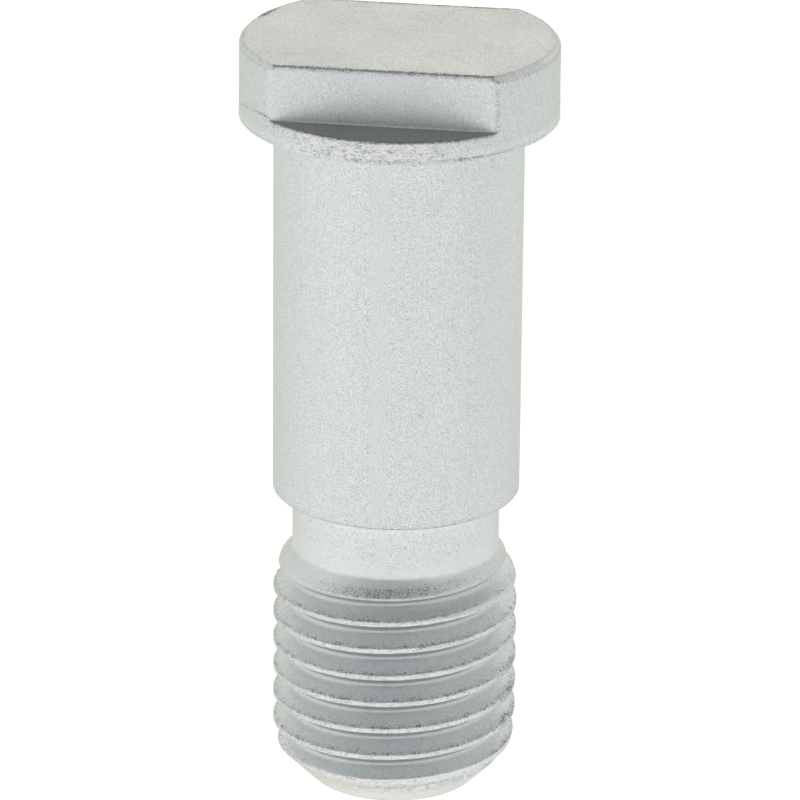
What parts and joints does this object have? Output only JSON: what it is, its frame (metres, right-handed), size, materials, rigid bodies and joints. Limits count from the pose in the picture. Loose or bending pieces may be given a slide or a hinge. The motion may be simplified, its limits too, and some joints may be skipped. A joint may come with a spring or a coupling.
{
  "type": "bearing bolt",
  "caption": "Upright steel bearing bolt with a round two-flat head and collar, a plain bearing shank, a thread relief and a coarse right-hand thread.",
  "frame": {"origin": "centre of the flat end face of the thread, on which the bolt stands", "axes": "+Z along the bolt's axis towards the head; the two flats of the head face -Y and +Y; X runs along the flats"},
  "size_m": [0.0384, 0.0384, 0.0947],
  "materials": {
    "zinc_steel": "matt zinc plating over forged and turned steel"
  },
  "bodies": {
    "root": {"bearing_bolt": "zinc_steel"}
  },
  "joints": []
}
